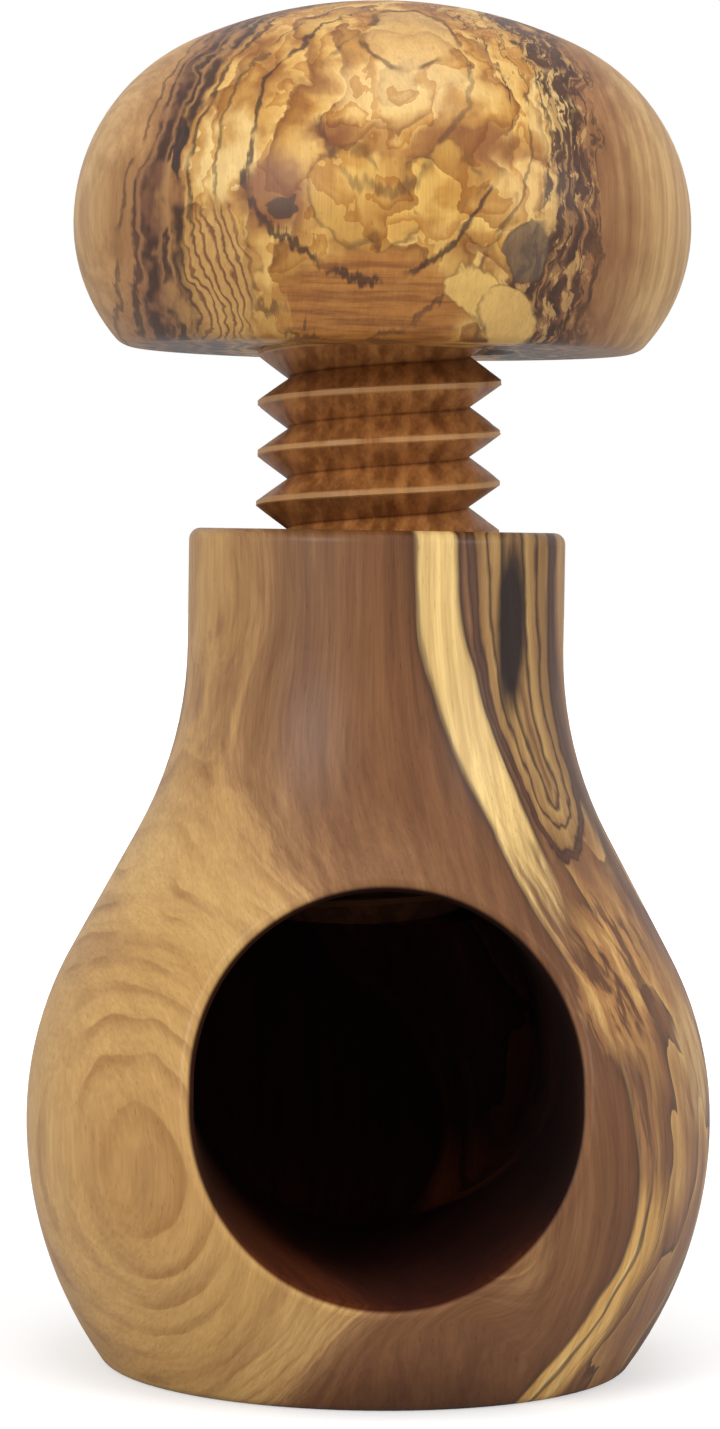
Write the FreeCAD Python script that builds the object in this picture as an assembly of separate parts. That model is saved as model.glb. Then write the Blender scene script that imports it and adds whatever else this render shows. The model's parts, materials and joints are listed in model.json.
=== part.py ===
"""Wooden screw nutcracker: a turned body with a nut chamber, and a threaded rod glued into a knob.

All sizes are in millimetres. The origin is the centre of the flat base, +Z is up, and the mouth of
the nut chamber faces -Y. The screw is drawn part way out, with room for a walnut under its tip.
"""

import FreeCAD, Part
import math
import os

# Body: the turned outline, from the base up
BELLY_RADIUS = 35.35
BELLY_HEIGHT = 25.5
LOWER_BELLY_CURVE = 43.0
UPPER_BELLY_CURVE = 36.0
FLANK_ANGLE = 28.5
NECK_CURVE = 40.0
NECK_RADIUS = 19.4
NECK_LENGTH = 12.0
BASE_ROUND = 1.6
NECK_ROUND = 1.2

# Nut chamber: one bit plunged twice, a little apart in height
CHAMBER_RADIUS = 18.8
CHAMBER_RISE = 2.0
FLOOR_THICKNESS = 11.3
CHAMBER_BACK = 20.0
CHAMBER_CORNER = 3.0
MOUTH_ROUND = 0.9

# Screw: a right-hand V thread cut on a plain rod
SCREW_RADIUS = 12.6
THREAD_DEPTH = 3.3
THREAD_PITCH = 5.15
CREST_FLAT = 0.35
ROOT_FLAT = 0.35
SCREW_REACH = 58.4
TIP_CHAMFER = 1.8
THREAD_START = 0.415
THREAD_ENTRY = 1.0

# Knob and the glued joint
KNOB_RADIUS = 31.7
KNOB_EQUATOR = 12.7
KNOB_LOWER_CURVE = 18.0
KNOB_SHOULDER_CURVE = 20.3
KNOB_SHOULDER_ANGLE = 65.0
KNOB_EDGE_ROUND = 1.0
SOCKET_DEPTH = 19.0
SOCKET_LIP = 0.8
GLUE_THICKNESS = 0.30
GLUE_GAP = 0.06

# Fits and the stored position
THREAD_CLEARANCE = 0.5
BORE_COUNTERSINK = 1.0
KNOB_LIFT = 18.5

UP = FreeCAD.Vector(0, 0, 1)
CENTRE = FreeCAD.Vector(0, 0, 0)


def point(radius, height):
    """A point of an outline, in the half plane that is turned about the axis."""
    return FreeCAD.Vector(radius, 0, height)


def arc(centre, radius, start, middle, end):
    """An edge on a circle about centre, through three angles in degrees from the outward direction."""
    spots = []
    for angle in (start, middle, end):
        turn = math.radians(angle)
        spots.append(centre + point(radius * math.cos(turn), radius * math.sin(turn)))
    return Part.Arc(*spots).toShape()


def line(a, b):
    return Part.LineSegment(a, b).toShape()


def closed_lathe(edges):
    """The solid that an open outline sweeps about the axis, closed along the axis itself."""
    first = edges[0].firstVertex(True).Point
    last = edges[-1].lastVertex(True).Point
    face = Part.Face(Part.Wire(edges + [line(last, first)]))
    return face.revolve(CENTRE, UP, 360)


def flank_run():
    """Length of the straight stretch between the belly's curve and the neck's curve."""
    turn = math.radians(FLANK_ANGLE)
    curves = (UPPER_BELLY_CURVE + NECK_CURVE) * (1 - math.cos(turn))
    return (BELLY_RADIUS - NECK_RADIUS - curves) / math.sin(turn)


def neck_start():
    """Height at which the neck becomes a straight cylinder."""
    turn = math.radians(FLANK_ANGLE)
    curves = (UPPER_BELLY_CURVE + NECK_CURVE) * math.sin(turn)
    return BELLY_HEIGHT + curves + flank_run() * math.cos(turn)


BODY_HEIGHT = neck_start() + NECK_LENGTH
KNOB_BOTTOM = BODY_HEIGHT + KNOB_LIFT
SCREW_TIP = KNOB_BOTTOM - SCREW_REACH
SOCKET_RADIUS = SCREW_RADIUS + GLUE_THICKNESS + 2 * GLUE_GAP
CHAMBER_ROOF = FLOOR_THICKNESS + 2 * CHAMBER_RADIUS + CHAMBER_RISE


def lower_belly_drop():
    """Angle, in degrees, that the lower belly's curve turns from the widest point to the base."""
    return math.degrees(math.asin(BELLY_HEIGHT / LOWER_BELLY_CURVE))


def turned_blank():
    """The body as it leaves the lathe, solid, with its base edge and neck edge rounded."""
    drop = lower_belly_drop()
    low_centre = point(BELLY_RADIUS - LOWER_BELLY_CURVE, BELLY_HEIGHT)
    high_centre = point(BELLY_RADIUS - UPPER_BELLY_CURVE, BELLY_HEIGHT)
    neck_centre = point(NECK_RADIUS + NECK_CURVE, neck_start())
    lower = arc(low_centre, LOWER_BELLY_CURVE, -drop, -drop / 2, 0)
    upper = arc(high_centre, UPPER_BELLY_CURVE, 0, FLANK_ANGLE / 2, FLANK_ANGLE)
    neck_curve = arc(
        neck_centre, NECK_CURVE, 180 + FLANK_ANGLE, 180 + FLANK_ANGLE / 2, 180
    )
    flank = line(upper.lastVertex(True).Point, neck_curve.firstVertex(True).Point)
    neck_top = point(NECK_RADIUS, BODY_HEIGHT)
    outline = [
        line(point(0, 0), lower.firstVertex(True).Point),
        lower,
        upper,
        flank,
        neck_curve,
        line(neck_curve.lastVertex(True).Point, neck_top),
        line(neck_top, point(0, BODY_HEIGHT)),
    ]
    blank = closed_lathe(outline)
    blank = blank.makeFillet(BASE_ROUND, round_edges(blank, 0))
    return blank.makeFillet(NECK_ROUND, round_edges(blank, BODY_HEIGHT))


def round_edges(shape, height):
    """The closed circular edges about the axis that lie at one height."""
    found = []
    for edge in shape.Edges:
        box = edge.BoundBox
        if box.ZLength < 1e-3 and abs(box.ZMin - height) < 1e-3 and edge.isClosed():
            found.append(edge)
    return found


def chamber_cutter():
    """The space that the nut lies in: a round-ended slot along Y with a softened inner corner."""
    low = FLOOR_THICKNESS + CHAMBER_RADIUS
    high = low + CHAMBER_RISE
    front = -(BELLY_RADIUS + CHAMBER_RADIUS)
    ends = {}
    for height, sign in ((low, -1), (high, 1)):
        spots = [(-1, 0), (0, 1), (1, 0)]
        ends[height] = [
            FreeCAD.Vector(CHAMBER_RADIUS * x, front, height + sign * CHAMBER_RADIUS * z)
            for x, z in spots
        ]
    floor_arc = Part.Arc(*ends[low]).toShape()
    roof_arc = Part.Arc(*reversed(ends[high])).toShape()
    right = line(ends[low][2], ends[high][2])
    left = line(ends[high][0], ends[low][0])
    mouth = Part.Face(Part.Wire([floor_arc, right, roof_arc, left]))
    slot = mouth.extrude(FreeCAD.Vector(0, CHAMBER_BACK - front, 0))
    back_edges = [e for e in slot.Edges if e.BoundBox.YMin > CHAMBER_BACK - 1e-3]
    return slot.makeFillet(CHAMBER_CORNER, back_edges)


def helix(radius, height):
    """One turn of the thread's helix at one radius, starting at one height."""
    turn = Part.makeHelix(THREAD_PITCH, THREAD_PITCH, radius)
    turn.translate(point(0, height))
    return turn.Edges[0]


def long_thread(start, turns, growth):
    """A solid with the full thread form, longer than needed, grown outwards by a clearance.

    Every turn is four helical strips (flank, crest, flank, root) that share their edges with the
    next turn. A helical lid and a flat half profile close each end.
    """
    crest = SCREW_RADIUS + growth
    root = SCREW_RADIUS - THREAD_DEPTH + growth
    foot = (THREAD_PITCH - ROOT_FLAT) / 2
    tip = CREST_FLAT / 2
    profile = [
        (root, -foot),
        (crest, -tip),
        (crest, tip),
        (root, foot),
        (root, THREAD_PITCH - foot),
    ]
    faces = []
    for number in range(turns):
        level = start + number * THREAD_PITCH
        edges = [helix(radius, level + height) for radius, height in profile]
        for below, above in zip(edges, edges[1:]):
            faces += Part.makeRuledSurface(below, above).Faces
    for level in (start - foot, start - foot + turns * THREAD_PITCH):
        axis_low = point(0, level)
        axis_high = point(0, level + THREAD_PITCH)
        lid = Part.makeRuledSurface(helix(root, level), line(axis_low, axis_high))
        faces += lid.Faces
        spots = [point(radius, level + foot + height) for radius, height in profile]
        faces.append(Part.Face(Part.makePolygon([axis_low] + spots + [axis_high, axis_low])))
    shell = Part.makeShell(faces)
    shell.sewShape()
    solid = Part.makeSolid(Part.Shell(shell.Faces))
    if solid.Volume < 0:
        solid.reverse()
    return solid


def thread_between(low, high, growth):
    """The long thread that covers a stretch of the axis, always in step with the knob."""
    phase = KNOB_BOTTOM + THREAD_START * THREAD_PITCH
    turns_below = math.ceil((phase - low) / THREAD_PITCH) + 1
    start = phase - turns_below * THREAD_PITCH
    turns = math.ceil((high - start) / THREAD_PITCH) + 1
    return long_thread(start, turns, growth)


def make_body():
    """The body, bored for the nut and tapped for the screw."""
    bored = turned_blank().cut(chamber_cutter())
    rims = []
    for edge in bored.Edges:
        box = edge.BoundBox
        middle = edge.valueAt((edge.FirstParameter + edge.LastParameter) / 2)
        rises = box.ZLength > 1e-3
        in_front = middle.y < -NECK_RADIUS / 2
        if rises and in_front and abs(middle.x) < CHAMBER_RADIUS + 1e-3:
            rims.append(edge)
    body = bored.makeFillet(MOUTH_ROUND, rims)
    tap_low = CHAMBER_ROOF - CHAMBER_RADIUS
    tap_high = BODY_HEIGHT + THREAD_PITCH
    tap = thread_between(tap_low, tap_high, THREAD_CLEARANCE)
    stock = Part.makeCylinder(2 * SCREW_RADIUS, tap_high - tap_low, point(0, tap_low))
    mouth_radius = SCREW_RADIUS + THREAD_CLEARANCE + BORE_COUNTERSINK
    countersink = Part.makeCone(
        mouth_radius - 2 * BORE_COUNTERSINK,
        mouth_radius,
        2 * BORE_COUNTERSINK,
        point(0, BODY_HEIGHT - 2 * BORE_COUNTERSINK),
    )
    return body.cut(tap.common(stock)).cut(countersink)


def make_screw():
    """The threaded rod: a chamfered tip, the thread, and a plain end for the knob's socket."""
    thread_top = KNOB_BOTTOM + THREAD_ENTRY
    spare = THREAD_DEPTH
    chamfer_foot = point(SCREW_RADIUS - TIP_CHAMFER, SCREW_TIP)
    chamfer_head = point(SCREW_RADIUS + spare, SCREW_TIP + TIP_CHAMFER + spare)
    corner = point(SCREW_RADIUS + spare, thread_top)
    stock = closed_lathe(
        [
            line(point(0, SCREW_TIP), chamfer_foot),
            line(chamfer_foot, chamfer_head),
            line(chamfer_head, corner),
            line(corner, point(0, thread_top)),
        ]
    )
    threaded = thread_between(SCREW_TIP, thread_top, 0).common(stock)
    stub_top = KNOB_BOTTOM + SOCKET_DEPTH - GLUE_THICKNESS - 2 * GLUE_GAP
    stub = Part.makeCylinder(SCREW_RADIUS, stub_top - thread_top, point(0, thread_top))
    return threaded.fuse(stub)


def make_knob():
    """The domed knob, with the blind socket that takes the screw's plain end."""
    shoulder = math.radians(KNOB_SHOULDER_ANGLE)
    equator = KNOB_BOTTOM + KNOB_EQUATOR
    low_centre = point(KNOB_RADIUS - KNOB_LOWER_CURVE, equator)
    shoulder_centre = point(KNOB_RADIUS - KNOB_SHOULDER_CURVE, equator)
    back = (KNOB_RADIUS - KNOB_SHOULDER_CURVE) / math.cos(shoulder)
    crown_radius = KNOB_SHOULDER_CURVE + back
    crown_centre = point(0, equator - back * math.sin(shoulder))
    drop = math.degrees(math.asin(KNOB_EQUATOR / KNOB_LOWER_CURVE))
    lower = arc(low_centre, KNOB_LOWER_CURVE, -drop, -drop / 2, 0)
    shoulder_arc = arc(
        shoulder_centre,
        KNOB_SHOULDER_CURVE,
        0,
        KNOB_SHOULDER_ANGLE / 2,
        KNOB_SHOULDER_ANGLE,
    )
    middle = (KNOB_SHOULDER_ANGLE + 90) / 2
    crown = arc(crown_centre, crown_radius, KNOB_SHOULDER_ANGLE, middle, 90)
    outline = [
        line(point(0, KNOB_BOTTOM), lower.firstVertex(True).Point),
        lower,
        shoulder_arc,
        crown,
    ]
    dome = closed_lathe(outline)
    dome = dome.makeFillet(KNOB_EDGE_ROUND, round_edges(dome, KNOB_BOTTOM))
    socket = Part.makeCylinder(SOCKET_RADIUS, SOCKET_DEPTH, point(0, KNOB_BOTTOM))
    lip = Part.makeCone(
        SOCKET_RADIUS + SOCKET_LIP, SOCKET_RADIUS, SOCKET_LIP, point(0, KNOB_BOTTOM)
    )
    return dome.cut(socket).cut(lip)


def make_glue_bond():
    """The set glue between the screw's plain end and the socket: a thin cup, open downwards."""
    low = KNOB_BOTTOM + THREAD_ENTRY + GLUE_GAP
    top = KNOB_BOTTOM + SOCKET_DEPTH - GLUE_GAP
    outer = Part.makeCylinder(SOCKET_RADIUS - GLUE_GAP, top - low, point(0, low))
    inner = Part.makeCylinder(
        SCREW_RADIUS + GLUE_GAP, top - low - GLUE_THICKNESS, point(0, low)
    )
    return outer.cut(inner)


MAKERS = {
    "body": make_body,
    "screw": make_screw,
    "knob": make_knob,
    "glue_bond": make_glue_bond,
}


def main():
    os.makedirs("parts", exist_ok=True)
    for name, make in MAKERS.items():
        shape = make()
        solids = shape.Solids
        print(
            name,
            "valid" if shape.isValid() else "NOT VALID",
            f"solids {len(solids)} faces {len(shape.Faces)} volume {shape.Volume:.1f}",
            f"z {shape.BoundBox.ZMin:.2f} to {shape.BoundBox.ZMax:.2f}",
        )
        shape.exportStep(f"parts/{name}.step")
    print(f"body height {BODY_HEIGHT:.2f}, knob bottom {KNOB_BOTTOM:.2f}, tip {SCREW_TIP:.2f}")


main()
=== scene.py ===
# %% [markdown]
# # An olive-wood nutcracker
# Three turned pieces of olive wood make this nutcracker: a pear-shaped body with a round chamber
# for the nut, a thick wooden screw that comes down through the neck, and a domed knob glued onto
# the screw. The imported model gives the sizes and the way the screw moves. This lesson adds what
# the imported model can't: the screw as it leaves the thread box, with its soft crests, and the
# figure of the wood, which is what one sees first on the real thing.

import json
import math

import bmesh
import bpy
from mathutils import Matrix, Vector, noise


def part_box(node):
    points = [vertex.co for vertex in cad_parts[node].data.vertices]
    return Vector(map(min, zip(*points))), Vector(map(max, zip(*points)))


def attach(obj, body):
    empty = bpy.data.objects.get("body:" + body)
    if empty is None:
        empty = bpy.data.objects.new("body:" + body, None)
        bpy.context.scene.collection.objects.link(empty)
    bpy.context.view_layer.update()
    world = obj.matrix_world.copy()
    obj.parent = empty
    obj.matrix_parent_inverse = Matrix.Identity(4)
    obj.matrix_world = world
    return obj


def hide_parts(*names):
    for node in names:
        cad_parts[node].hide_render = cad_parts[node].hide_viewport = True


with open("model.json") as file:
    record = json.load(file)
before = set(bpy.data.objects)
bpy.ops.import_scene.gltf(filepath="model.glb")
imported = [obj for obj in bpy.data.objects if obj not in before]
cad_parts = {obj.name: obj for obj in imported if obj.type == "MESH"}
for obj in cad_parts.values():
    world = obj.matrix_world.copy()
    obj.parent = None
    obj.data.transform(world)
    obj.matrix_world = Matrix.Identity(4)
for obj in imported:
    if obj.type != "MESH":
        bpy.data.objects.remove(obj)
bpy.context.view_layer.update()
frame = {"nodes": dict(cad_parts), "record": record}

# %% [markdown]
# ## The camera and the table
# The nutcracker is seen from the height of its neck, from about half a metre, with the mouth of
# the chamber turned a few degrees to the right. It stands on a plain white table under a white
# sky, so that nothing competes with the wood. The camera is rolled by less than a degree, as
# a camera held in the hand would be.

# %% Camera
MM = 0.001
CAMERA_DISTANCE = 450 * MM
CAMERA_HEIGHT = 86 * MM
CAMERA_AZIMUTH = math.radians(-3.5)
CAMERA_PITCH = math.radians(-2.40)
CAMERA_ROLL = math.radians(0.9)
AIM_OFFSET = -1.5 * MM
LENS = 109.8

camera = bpy.data.objects.new("camera", bpy.data.cameras.new("camera"))
bpy.context.collection.objects.link(camera)
bpy.context.scene.camera = camera
camera.data.sensor_fit = "AUTO"
camera.data.sensor_width = 36
camera.data.lens = LENS
turn = Matrix.Rotation(CAMERA_AZIMUTH, 4, "Z")
camera.matrix_world = (
    turn
    @ Matrix.Translation((AIM_OFFSET, -CAMERA_DISTANCE, CAMERA_HEIGHT))
    @ Matrix.Rotation(math.radians(90) + CAMERA_PITCH, 4, "X")
    @ Matrix.Rotation(CAMERA_ROLL, 4, "Z")
)
print("camera at", [round(v, 4) for v in camera.matrix_world.translation])

# %% Table
TABLE_RADIUS = 4.0


def new_piece(name, mesh):
    """A new object for a mesh, at the origin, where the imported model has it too."""
    piece = bpy.data.objects.new(name, mesh)
    bpy.context.collection.objects.link(piece)
    return piece


def mesh_from(shape, name):
    """Turns a finished bmesh into a mesh and frees it."""
    mesh = bpy.data.meshes.new(name)
    shape.to_mesh(mesh)
    shape.free()
    return mesh


shape = bmesh.new()
bmesh.ops.create_circle(shape, cap_ends=True, segments=96, radius=TABLE_RADIUS)
table = new_piece("table", mesh_from(shape, "table"))
print("table radius", TABLE_RADIUS)

# %% [markdown]
# ## Light
# An even, pale sky gives much of the light, and keeps the shadow on the table faint. The camera
# sees that sky as plain white, while the wood is lit by a dimmer one: a `Light Path` node tells
# the two apart. The table does the same, and glows more the farther it is from the nutcracker,
# so that it runs into the sky without a line. Large soft boxes in front give the polished curves
# long quiet highlights, and leave the parts that face down darker.

# %% Sky
SKY_SEEN = 1.0
SKY_LIGHT = 0.68
scene = bpy.context.scene
scene.view_settings.view_transform = "Standard"
sky = bpy.data.worlds.new("sky")
scene.world = sky
sky.use_nodes = True
background = sky.node_tree.nodes["Background"]
background.inputs["Color"].default_value = (1, 1, 1, 1)
seen = sky.node_tree.nodes.new("ShaderNodeLightPath")
level = sky.node_tree.nodes.new("ShaderNodeMapRange")
level.inputs["To Min"].default_value = SKY_LIGHT
level.inputs["To Max"].default_value = SKY_SEEN
sky.node_tree.links.new(seen.outputs["Is Camera Ray"], level.inputs["Value"])
sky.node_tree.links.new(level.outputs["Result"], background.inputs["Strength"])
print("sky strength: lights with", SKY_LIGHT, "and is seen with", SKY_SEEN)

# %% White of the table
TABLE_GREY = (0.58, 0.58, 0.58, 1)
TABLE_NEAR = 0.50
TABLE_FAR = 1.0
GLOW_STARTS = 0.06
GLOW_FULL = 0.45

white = bpy.data.materials.new("table_white")
white.use_nodes = True
tree = white.node_tree
white_shader = tree.nodes["Principled BSDF"]
white_shader.inputs["Base Color"].default_value = TABLE_GREY
white_shader.inputs["Roughness"].default_value = 0.6
white_shader.inputs["Specular IOR Level"].default_value = 0.0
white_shader.inputs["Emission Color"].default_value = (1, 1, 1, 1)
spot_on_table = tree.nodes.new("ShaderNodeTexCoord")
how_far = tree.nodes.new("ShaderNodeVectorMath")
how_far.operation = "LENGTH"
tree.links.new(spot_on_table.outputs["Object"], how_far.inputs[0])
glow = tree.nodes.new("ShaderNodeMapRange")
glow.inputs["From Min"].default_value = GLOW_STARTS
glow.inputs["From Max"].default_value = GLOW_FULL
glow.inputs["To Min"].default_value = TABLE_NEAR
glow.inputs["To Max"].default_value = TABLE_FAR
tree.links.new(how_far.outputs["Value"], glow.inputs["Value"])
only_seen = tree.nodes.new("ShaderNodeMath")
only_seen.operation = "MULTIPLY"
table_seen = tree.nodes.new("ShaderNodeLightPath")
tree.links.new(glow.outputs["Result"], only_seen.inputs[0])
tree.links.new(table_seen.outputs["Is Camera Ray"], only_seen.inputs[1])
tree.links.new(only_seen.outputs[0], white_shader.inputs["Emission Strength"])
table.data.materials.append(white)
print("table glow runs from", TABLE_NEAR, "to", TABLE_FAR)

# %% Soft boxes
AIM = Vector((0, 0, 0.07))


def soft_box(name, place, size, power):
    """A square area lamp that faces the middle of the nutcracker."""
    lamp = bpy.data.objects.new(name, bpy.data.lights.new(name, "AREA"))
    lamp.data.shape = "SQUARE"
    lamp.data.size = size
    lamp.data.energy = power
    bpy.context.collection.objects.link(lamp)
    place = Vector(place)
    facing = (AIM - place).to_track_quat("-Z", "Y").to_matrix().to_4x4()
    lamp.matrix_world = Matrix.Translation(place) @ facing
    return lamp


soft_box("soft_box_left", place=(-0.62, -0.72, 0.42), size=0.45, power=4.4)
soft_box("soft_box_right", place=(0.80, -0.55, 0.38), size=0.40, power=2.8)
soft_box("soft_box_top", place=(0.05, -0.25, 1.1), size=0.6, power=4.2)

# %% [markdown]
# ## A short way to write node formulas
# Olive wood is drawn here as a solid: every colour is a formula of the place inside the block, in
# millimetres, so that the figure runs on through the walls of the chamber and round the back.
# Such formulas are long chains of Math nodes. The small class below lets them be written as
# plain sums: each + or * between two wires adds one node to the material.

# %% Wires


class Wire:
    """The output of a node, which can be added to, subtracted from, multiplied and divided as a
    number can.
    """

    def __init__(self, canvas, socket):
        self.canvas = canvas
        self.socket = socket

    def __add__(self, other):
        return self.canvas.math("ADD", self, other)

    __radd__ = __add__

    def __sub__(self, other):
        return self.canvas.math("SUBTRACT", self, other)

    def __rsub__(self, other):
        return self.canvas.math("SUBTRACT", other, self)

    def __mul__(self, other):
        return self.canvas.math("MULTIPLY", self, other)

    __rmul__ = __mul__

    def __truediv__(self, other):
        return self.canvas.math("DIVIDE", self, other)

    def __abs__(self):
        return self.canvas.math("ABSOLUTE", self)


print("a wire can be added, multiplied and divided")

# %% Canvas


class Canvas:
    """The node tree of one material or group, with short ways to add the usual nodes."""

    def __init__(self, tree):
        self.tree = tree

    def node(self, kind, **settings):
        """A new node, with its settings."""
        made = self.tree.nodes.new("ShaderNode" + kind)
        for name, value in settings.items():
            setattr(made, name, value)
        return made

    def feed(self, socket, value):
        """Links a wire to a socket, or sets the socket to a number, vector or colour."""
        if isinstance(value, Wire):
            self.tree.links.new(value.socket, socket)
        elif hasattr(value, "__len__") and len(value) == 3 and len(socket.default_value) == 4:
            socket.default_value = (*value, 1)
        else:
            socket.default_value = value

    def math(self, operation, first, second=0.0):
        """One Math node, such as ADD or SQRT."""
        made = self.node("Math", operation=operation)
        self.feed(made.inputs[0], first)
        self.feed(made.inputs[1], second)
        return Wire(self, made.outputs[0])

    def vector_math(self, operation, first, second=None, scale=None):
        """One Vector Math node, such as SUBTRACT or LENGTH."""
        made = self.node("VectorMath", operation=operation)
        self.feed(made.inputs[0], first)
        if second is not None:
            self.feed(made.inputs[1], second)
        if scale is not None:
            self.feed(made.inputs["Scale"], scale)
        kind = "Value" if operation == "LENGTH" else "Vector"
        return Wire(self, made.outputs[kind])

    def split(self, vector):
        """The x, y and z of a vector."""
        made = self.node("SeparateXYZ")
        self.feed(made.inputs[0], vector)
        return [Wire(self, made.outputs[axis]) for axis in "XYZ"]

    def join(self, x, y, z):
        """A vector from its x, y and z."""
        made = self.node("CombineXYZ")
        for axis, value in zip("XYZ", (x, y, z)):
            self.feed(made.inputs[axis], value)
        return Wire(self, made.outputs[0])

    def ramp(self, value, low, high, out_low=0.0, out_high=1.0):
        """Runs smoothly from out_low at low to out_high at high."""
        made = self.node("MapRange", interpolation_type="SMOOTHSTEP")
        for name, number in zip(
            ("Value", "From Min", "From Max", "To Min", "To Max"),
            (value, low, high, out_low, out_high),
        ):
            self.feed(made.inputs[name], number)
        return Wire(self, made.outputs["Result"])

    def cloud(self, vector, size, detail=2.0, roughness=0.5, output="Fac"):
        """Cloudy noise from 0 to 1, with lumps about as large as size, a number or a wire."""
        made = self.node("TexNoise")
        scale = self.math("DIVIDE", 1.0, size) if isinstance(size, Wire) else 1 / size
        self.feed(made.inputs["Vector"], vector)
        self.feed(made.inputs["Scale"], scale)
        made.inputs["Detail"].default_value = detail
        made.inputs["Roughness"].default_value = roughness
        return Wire(self, made.outputs[output])

    def curve(self, value, points, low, high, out_low, out_high):
        """A Float Curve through listed points, given in the units of value and of the result."""
        made = self.node("FloatCurve")
        spots = made.mapping.curves[0].points
        wide, tall = high - low, out_high - out_low
        scaled = [((a - low) / wide, (b - out_low) / tall) for a, b in points]
        for spot, place in zip((spots[0], spots[-1]), (scaled[0], scaled[-1])):
            spot.location = place
        for place in scaled[1:-1]:
            spots.new(*place)
        made.mapping.update()
        self.feed(made.inputs["Value"], (value - low) / wide)
        return Wire(self, made.outputs[0]) * tall + out_low

    def mix(self, mask, below, above, blend_type="MIX"):
        """The colour below, covered by the colour above where the mask is 1."""
        made = self.node("Mix", data_type="RGBA", blend_type=blend_type)
        self.feed(made.inputs[0], mask)
        self.feed(made.inputs[6], below)
        self.feed(made.inputs[7], above)
        return Wire(self, made.outputs[2])

    def darken(self, mask, below, tint):
        """The colour below, multiplied by a tint where the mask is 1."""
        return self.mix(mask, below, tint, blend_type="MULTIPLY")

    def bands(self, value, low, high, stops):
        """A colour ramp between low and high, with stops of (place, colour)."""
        made = self.node("ValToRGB")
        elements = made.color_ramp.elements
        while len(elements) < len(stops):
            elements.new(0.5)
        for element, (place, colour) in zip(elements, stops):
            element.position = (place - low) / (high - low)
            element.color = (*colour, 1)
        self.feed(made.inputs[0], (value - low) / (high - low))
        return Wire(self, made.outputs[0])

    def place(self, group, **inputs):
        """Puts a finished group in this tree and returns its outputs by name."""
        made = self.node("Group")
        made.node_tree = group
        for name, value in inputs.items():
            self.feed(made.inputs[name], value)
        return {socket.name: Wire(self, socket) for socket in made.outputs}


print("a canvas adds nodes by short names")

# %% Empty groups


def new_group(name, inputs, outputs):
    """An empty shader node group with named sockets. Returns it, its canvas and its inputs."""
    group = bpy.data.node_groups.new(name, "ShaderNodeTree")
    for label, kind, value in inputs:
        socket = group.interface.new_socket(label, in_out="INPUT", socket_type="NodeSocket" + kind)
        if value is not None:
            socket.default_value = value
    for label, kind in outputs:
        group.interface.new_socket(label, in_out="OUTPUT", socket_type="NodeSocket" + kind)
    canvas = Canvas(group)
    entry = group.nodes.new("NodeGroupInput")
    exit_node = group.nodes.new("NodeGroupOutput")
    wires = {socket.name: Wire(canvas, socket) for socket in entry.outputs if socket.name}
    return group, canvas, wires, exit_node


print("node helpers are ready")

# %% [markdown]
# ## Effects that all the wood shares
# Five small groups are made once and used by every piece. `wander` pushes a place about, which
# bends straight layers as growth does. `ink_line` draws one thin line where a value passes
# a mark. `patch` marks a soft-edged blob. `fine_grain` makes the hair-fine streaks and the short
# dark pores that run along the fibres, and the faint relief they leave in the polish. `curl`
# makes the overlapping petals of a burl: each one shades from pale to brown and ends at a
# crisp dark edge, because the fibres dive under the next.

# %% Group: wander
wander, canvas, given, result = new_group(
    "wander",
    [("Place", "Vector", None), ("Size", "Float", 10.0), ("Reach", "Float", 1.0)],
    [("Place", "Vector")],
)
breeze = canvas.cloud(given["Place"], given["Size"], output="Color")
breeze = canvas.vector_math("SUBTRACT", breeze, (0.5, 0.5, 0.5))
push = canvas.vector_math("SCALE", breeze, scale=given["Reach"] * 2.0)
canvas.feed(result.inputs["Place"], canvas.vector_math("ADD", given["Place"], push))
print("group wander:", len(wander.nodes), "nodes")

# %% Groups: ink line and patch
ink_line, canvas, given, result = new_group(
    "ink_line",
    [("Value", "Float", 0.0), ("Mark", "Float", 0.0), ("Width", "Float", 0.3)],
    [("Mask", "Float")],
)
away = abs(given["Value"] - given["Mark"])
canvas.feed(result.inputs["Mask"], canvas.ramp(away, given["Width"], given["Width"] * 0.25))

patch, canvas, given, result = new_group(
    "patch",
    [
        ("Place", "Vector", None),
        ("Centre", "Vector", None),
        ("Size", "Vector", None),
        ("Softness", "Float", 0.3),
    ],
    [("Mask", "Float")],
)
offset = canvas.vector_math("SUBTRACT", given["Place"], given["Centre"])
reach = canvas.vector_math("LENGTH", canvas.vector_math("DIVIDE", offset, given["Size"]))
soft = given["Softness"]
canvas.feed(result.inputs["Mask"], canvas.ramp(reach, 1.0 + soft, 1.0 - soft))
print("groups ink_line and patch:", len(ink_line.nodes), "and", len(patch.nodes), "nodes")

# %% Group: fine grain
fine_grain, canvas, given, result = new_group(
    "fine_grain",
    [("Across", "Float", 0.0), ("Aside", "Float", 0.0), ("Along", "Float", 0.0)],
    [("Streak", "Float"), ("Hair", "Float"), ("Pores", "Float"), ("Height", "Float")],
)
across, aside, along = given["Across"], given["Aside"], given["Along"]
streak = canvas.cloud(canvas.join(across * 0.8, aside * 0.25, along * 0.035), 1.0, 4.0, 0.6)
hair = canvas.cloud(canvas.join(across * 4.5, aside * 2.0, along * 0.12), 1.0, 2.0, 0.6)
speck = canvas.cloud(canvas.join(across * 5.0, aside * 5.0, along * 0.5), 1.0, 1.0, 0.5)
pores = canvas.ramp(speck, 0.66, 0.76)
canvas.feed(result.inputs["Streak"], canvas.ramp(streak, 0.3, 0.7))
canvas.feed(result.inputs["Hair"], canvas.ramp(hair, 0.25, 0.75))
canvas.feed(result.inputs["Pores"], pores)
canvas.feed(result.inputs["Height"], hair * 0.5 - pores * 0.6)
print("group fine_grain:", len(fine_grain.nodes), "nodes")

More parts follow.
